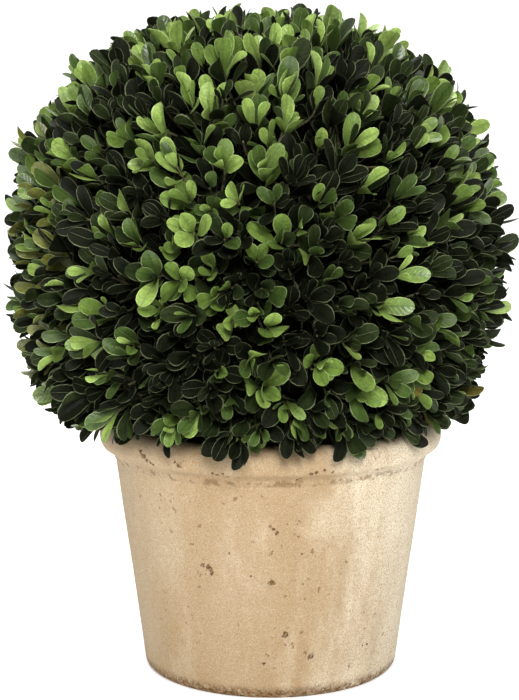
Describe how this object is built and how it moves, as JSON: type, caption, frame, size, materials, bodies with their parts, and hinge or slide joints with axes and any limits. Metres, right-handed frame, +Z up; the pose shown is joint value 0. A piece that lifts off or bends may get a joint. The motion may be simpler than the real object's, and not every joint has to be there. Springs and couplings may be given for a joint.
{
  "type": "potted box topiary ball",
  "caption": "Small clipped ball of evergreen box leaves on a short hidden stem, filling and overhanging a tapered, rolled-rim terracotta pot.",
  "frame": {"origin": "middle of the pot's flat underside, on the surface that the plant stands on", "axes": "+Z up along the pot's axis, -Y towards the front, +X to the right when seen from the front"},
  "size_m": [0.2631, 0.2624, 0.352],
  "materials": {
    "aged_terracotta": "matt, limewashed and weathered terracotta",
    "compost": "matt, crumbly bark compost",
    "bark": "matt, finely furrowed bark",
    "box_leaves": "satin evergreen leaves"
  },
  "bodies": {
    "root": {"pot": "aged_terracotta", "potting_fill": "compost", "stem": "bark", "crown": "box_leaves"}
  },
  "joints": []
}
